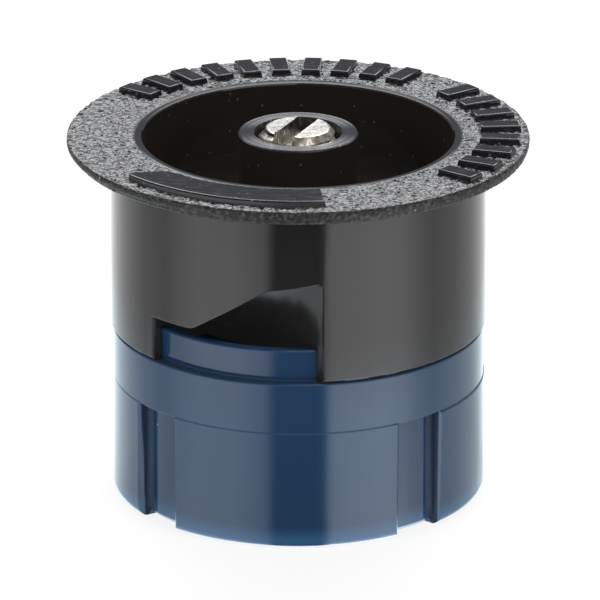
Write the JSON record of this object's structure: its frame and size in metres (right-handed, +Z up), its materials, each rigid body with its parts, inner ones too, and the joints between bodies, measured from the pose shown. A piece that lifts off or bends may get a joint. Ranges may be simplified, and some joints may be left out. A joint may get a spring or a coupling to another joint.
{
  "type": "spray nozzle",
  "caption": "Fixed-pattern strip spray nozzle for a pop-up sprinkler: flanged black cap with a stepped side window, blue threaded base and slotted radius screw.",
  "frame": {"origin": "on the nozzle's axis, at the underside of the threaded base, on which it stands", "axes": "+Z up along the axis towards the cup and the screw's slot; -Y the side the spray window faces; +X to the right of the window"},
  "size_m": [0.028, 0.028, 0.0229],
  "materials": {
    "black_plastic": "glossy moulding, flange top grained",
    "blue_plastic": "glossy moulding",
    "stainless_steel": "turned, lightly scratched"
  },
  "bodies": {
    "nozzle_body": {"nozzle_cap": "black_plastic", "threaded_base": "blue_plastic"},
    "screw": {"radius_screw": "stainless_steel"}
  },
  "joints": [
    {"name": "radius_adjustment", "type": "hinge", "parent": "nozzle_body", "child": "screw", "pos_m": [0, 0, 0.02], "axis": [0, 0, 1], "range_deg": [-1080, 0]}
  ]
}
